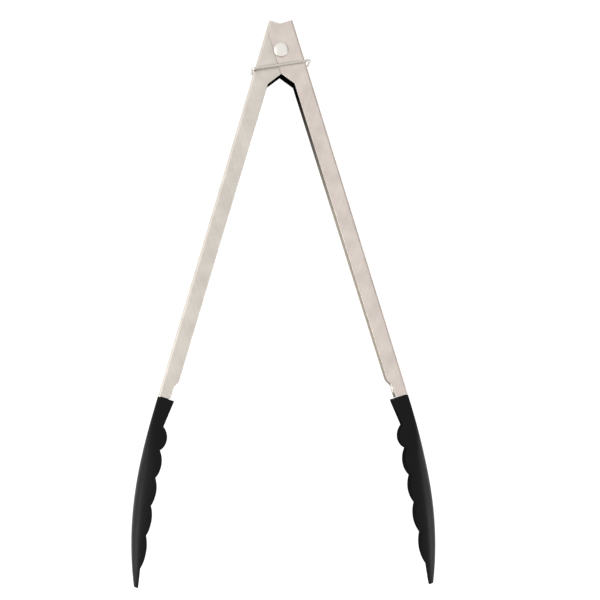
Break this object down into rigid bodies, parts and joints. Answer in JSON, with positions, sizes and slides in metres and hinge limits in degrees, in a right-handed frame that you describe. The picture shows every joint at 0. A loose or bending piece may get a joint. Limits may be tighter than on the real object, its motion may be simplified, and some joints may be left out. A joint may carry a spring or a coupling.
{
  "type": "kitchen tongs",
  "caption": "Spring loaded kitchen tongs with folded steel arms, scalloped black nylon heads and a sliding wire lock ring.",
  "frame": {"origin": "where the hinge axis meets the surface that the tongs lie on: the middle of the hinge rivet's flat rear head", "axes": "+Z along the hinge axis, up from the surface; +Y from the heads towards the hinge along the centre line; +X towards the right arm, whose side walls are the outer ones"},
  "size_m": [0.1578, 0.2942, 0.0214],
  "materials": {
    "brushed_steel": "fine brushed stainless sheet",
    "rivet_steel": "bright drawn stainless wire and rivets",
    "spring_steel": "drawn spring wire",
    "black_nylon": "satin moulded black nylon"
  },
  "bodies": {
    "hinge": {"hinge_rivet": "rivet_steel", "spring_bush": "brushed_steel", "torsion_spring": "spring_steel"},
    "left_arm": {"inner_arm": "brushed_steel", "left_head": "black_nylon", "left_head_rivet": "rivet_steel"},
    "right_arm": {"outer_arm": "brushed_steel", "right_head": "black_nylon", "right_head_rivet": "rivet_steel"},
    "ring": {"lock_ring": "rivet_steel"}
  },
  "joints": [
    {"name": "left_arm_close", "type": "hinge", "parent": "hinge", "child": "left_arm", "pos_m": [0, 0, 0.0107], "axis": [0, 0, 1], "range_deg": [0, 15.1], "stiffness_Nm_per_rad": 0.8, "springref_deg": -17.19, "deforming": ["torsion_spring"]},
    {"name": "right_arm_close", "type": "hinge", "parent": "hinge", "child": "right_arm", "pos_m": [0, 0, 0.0107], "axis": [0, 0, -1], "range_deg": [0, 15.1], "stiffness_Nm_per_rad": 0.8, "springref_deg": -17.19},
    {"name": "ring_slide", "type": "slide", "parent": "hinge", "child": "ring", "axis": [0, -1, 0], "range_m": [0, 0.0206]}
  ],
  "couplings": [
    {"joint": "right_arm_close", "follows": "left_arm_close", "ratio": 1},
    {"joint": "ring_slide", "follows": "left_arm_close", "m_per_rad": 0.078}
  ]
}
